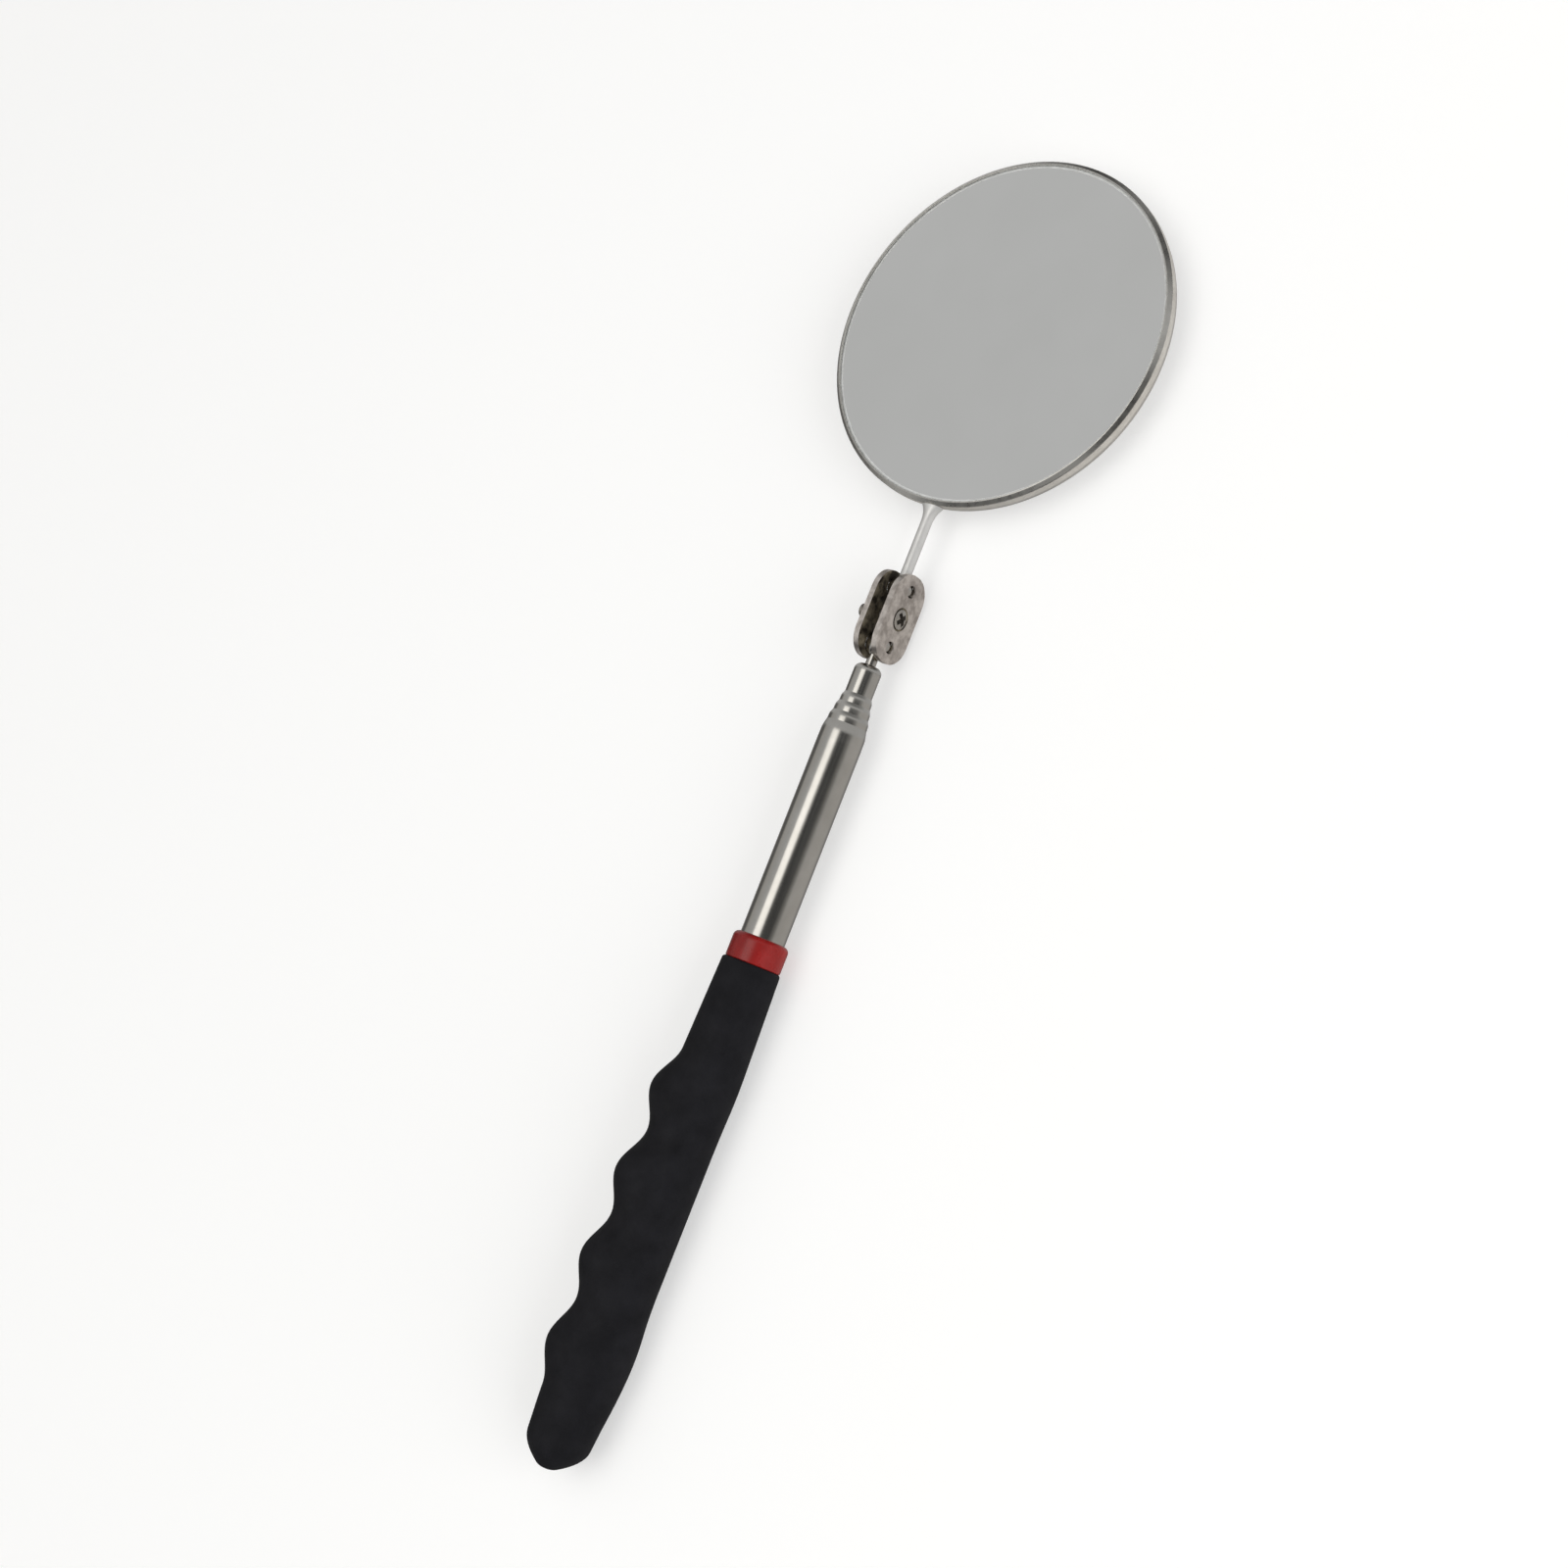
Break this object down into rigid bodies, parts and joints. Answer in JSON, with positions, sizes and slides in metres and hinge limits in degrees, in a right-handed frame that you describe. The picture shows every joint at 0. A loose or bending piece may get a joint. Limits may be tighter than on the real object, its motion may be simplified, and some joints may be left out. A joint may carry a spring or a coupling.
{
  "type": "telescoping inspection mirror",
  "caption": "Round hand mirror on a telescoping chrome rod with a double-ball swivel clamp and a finger-grooved grip.",
  "frame": {"origin": "under the middle of the tool's length, on the surface that the grip rests on, with the tube pushed in and both balls straight", "axes": "+X along the tool from the grip towards the mirror, +Z out of the mirror's face, +Y across the tool on the side of the clamp's nut"},
  "size_m": [0.3022, 0.082, 0.0166],
  "materials": {
    "grip_vinyl": "matte black dipped vinyl with a fine grain",
    "ring_plastic": "glossy red plastic",
    "tube_chrome": "polished chrome plating",
    "clamp_steel": "satin nickel plated steel plate",
    "screw_steel": "zinc plated steel",
    "ball_steel": "polished steel ball",
    "bush_brass": "turned brass",
    "plug_plastic": "moulded grey plastic",
    "bezel_chrome": "polished chrome plating",
    "mirror_glass": "second-surface silvered glass, clean",
    "pad_foam": "thin grey foam",
    "cover_steel": "plated pressed steel, satin"
  },
  "bodies": {
    "handle": {"grip": "grip_vinyl", "red_ring": "ring_plastic", "outer_tube": "tube_chrome", "tail_plug": "plug_plastic"},
    "section_2": {"tube_2": "tube_chrome", "tube_2_bush": "bush_brass"},
    "section_3": {"tube_3": "tube_chrome", "tube_3_bush": "bush_brass"},
    "section_4": {"tube_4": "tube_chrome", "tube_4_bush": "bush_brass"},
    "section_5": {"inner_tube": "tube_chrome", "inner_tube_bush": "bush_brass", "neck_plug": "tube_chrome"},
    "ball_stud": {"lower_ball_stud": "ball_steel"},
    "clamp": {"clamp_plate_front": "clamp_steel", "clamp_plate_rear": "clamp_steel", "clamp_screw": "screw_steel", "clamp_nut": "screw_steel"},
    "ball_upper": {"upper_ball": "ball_steel"},
    "mirror_head": {"stem": "bezel_chrome", "bezel_ring": "bezel_chrome", "mirror_glass": "mirror_glass", "backing_pad": "pad_foam", "back_cover": "cover_steel"}
  },
  "joints": [
    {"name": "section_2_slide", "type": "slide", "parent": "handle", "child": "section_2", "axis": [1, 0, 0], "range_m": [0, 0.138]},
    {"name": "section_3_slide", "type": "slide", "parent": "section_2", "child": "section_3", "axis": [1, 0, 0], "range_m": [0, 0.138]},
    {"name": "section_4_slide", "type": "slide", "parent": "section_3", "child": "section_4", "axis": [1, 0, 0], "range_m": [0, 0.138]},
    {"name": "section_5_slide", "type": "slide", "parent": "section_4", "child": "section_5", "axis": [1, 0, 0], "range_m": [0, 0.138]},
    {"name": "lower_spin", "type": "hinge", "parent": "section_5", "child": "ball_stud", "pos_m": [0.0364, 0, 0.00745], "axis": [1, 0, 0], "continuous": true},
    {"name": "lower_swing", "type": "hinge", "parent": "ball_stud", "child": "clamp", "pos_m": [0.0364, 0, 0.00745], "axis": [0, 1, 0], "range_deg": [-60, 60]},
    {"name": "upper_swing", "type": "hinge", "parent": "clamp", "child": "ball_upper", "pos_m": [0.0494, 0, 0.00745], "axis": [0, -1, 0], "range_deg": [-120, 120]},
    {"name": "upper_spin", "type": "hinge", "parent": "ball_upper", "child": "mirror_head", "pos_m": [0.0494, 0, 0.00745], "axis": [1, 0, 0], "continuous": true}
  ]
}
